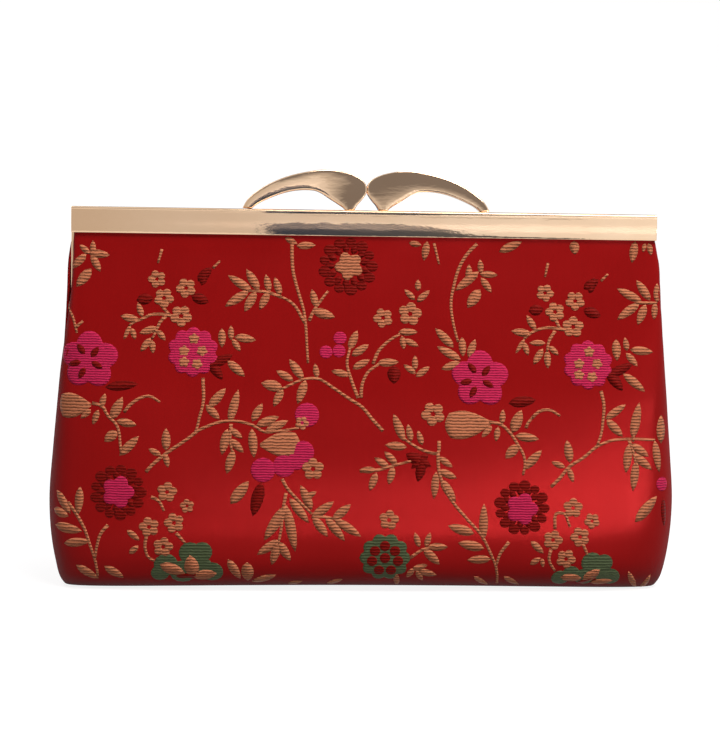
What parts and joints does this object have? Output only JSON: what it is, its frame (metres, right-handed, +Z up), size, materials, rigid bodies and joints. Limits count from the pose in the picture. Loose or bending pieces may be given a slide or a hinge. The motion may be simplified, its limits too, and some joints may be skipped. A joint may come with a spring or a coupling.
{
  "type": "clutch wallet",
  "caption": "Framed clutch wallet: a soft brocade bag in a hinged metal frame with a straight top bar and a snap clasp of crescent horns.",
  "frame": {"origin": "middle of the flat bottom that it stands on", "axes": "+X along the bar to the right as seen from the front, +Z up, the front faces -Y"},
  "size_m": [0.1922, 0.041, 0.1279],
  "materials": {
    "gold_metal": "polished pale gold plating",
    "brocade": "red satin brocade with woven flowers",
    "lining": "plain red satin"
  },
  "bodies": {
    "back_half": {"back_frame": "gold_metal", "right_horn": "gold_metal", "left_rivet": "gold_metal", "right_rivet": "gold_metal", "bag_shell": "brocade", "bag_lining": "lining"},
    "front_half": {"front_frame": "gold_metal", "left_horn": "gold_metal", "front_shell": "brocade", "front_lining": "lining"}
  },
  "joints": [
    {"name": "frame_hinge", "type": "hinge", "parent": "back_half", "child": "front_half", "pos_m": [0, 0, 0.08], "axis": [1, 0, 0], "range_deg": [0, 60]}
  ]
}
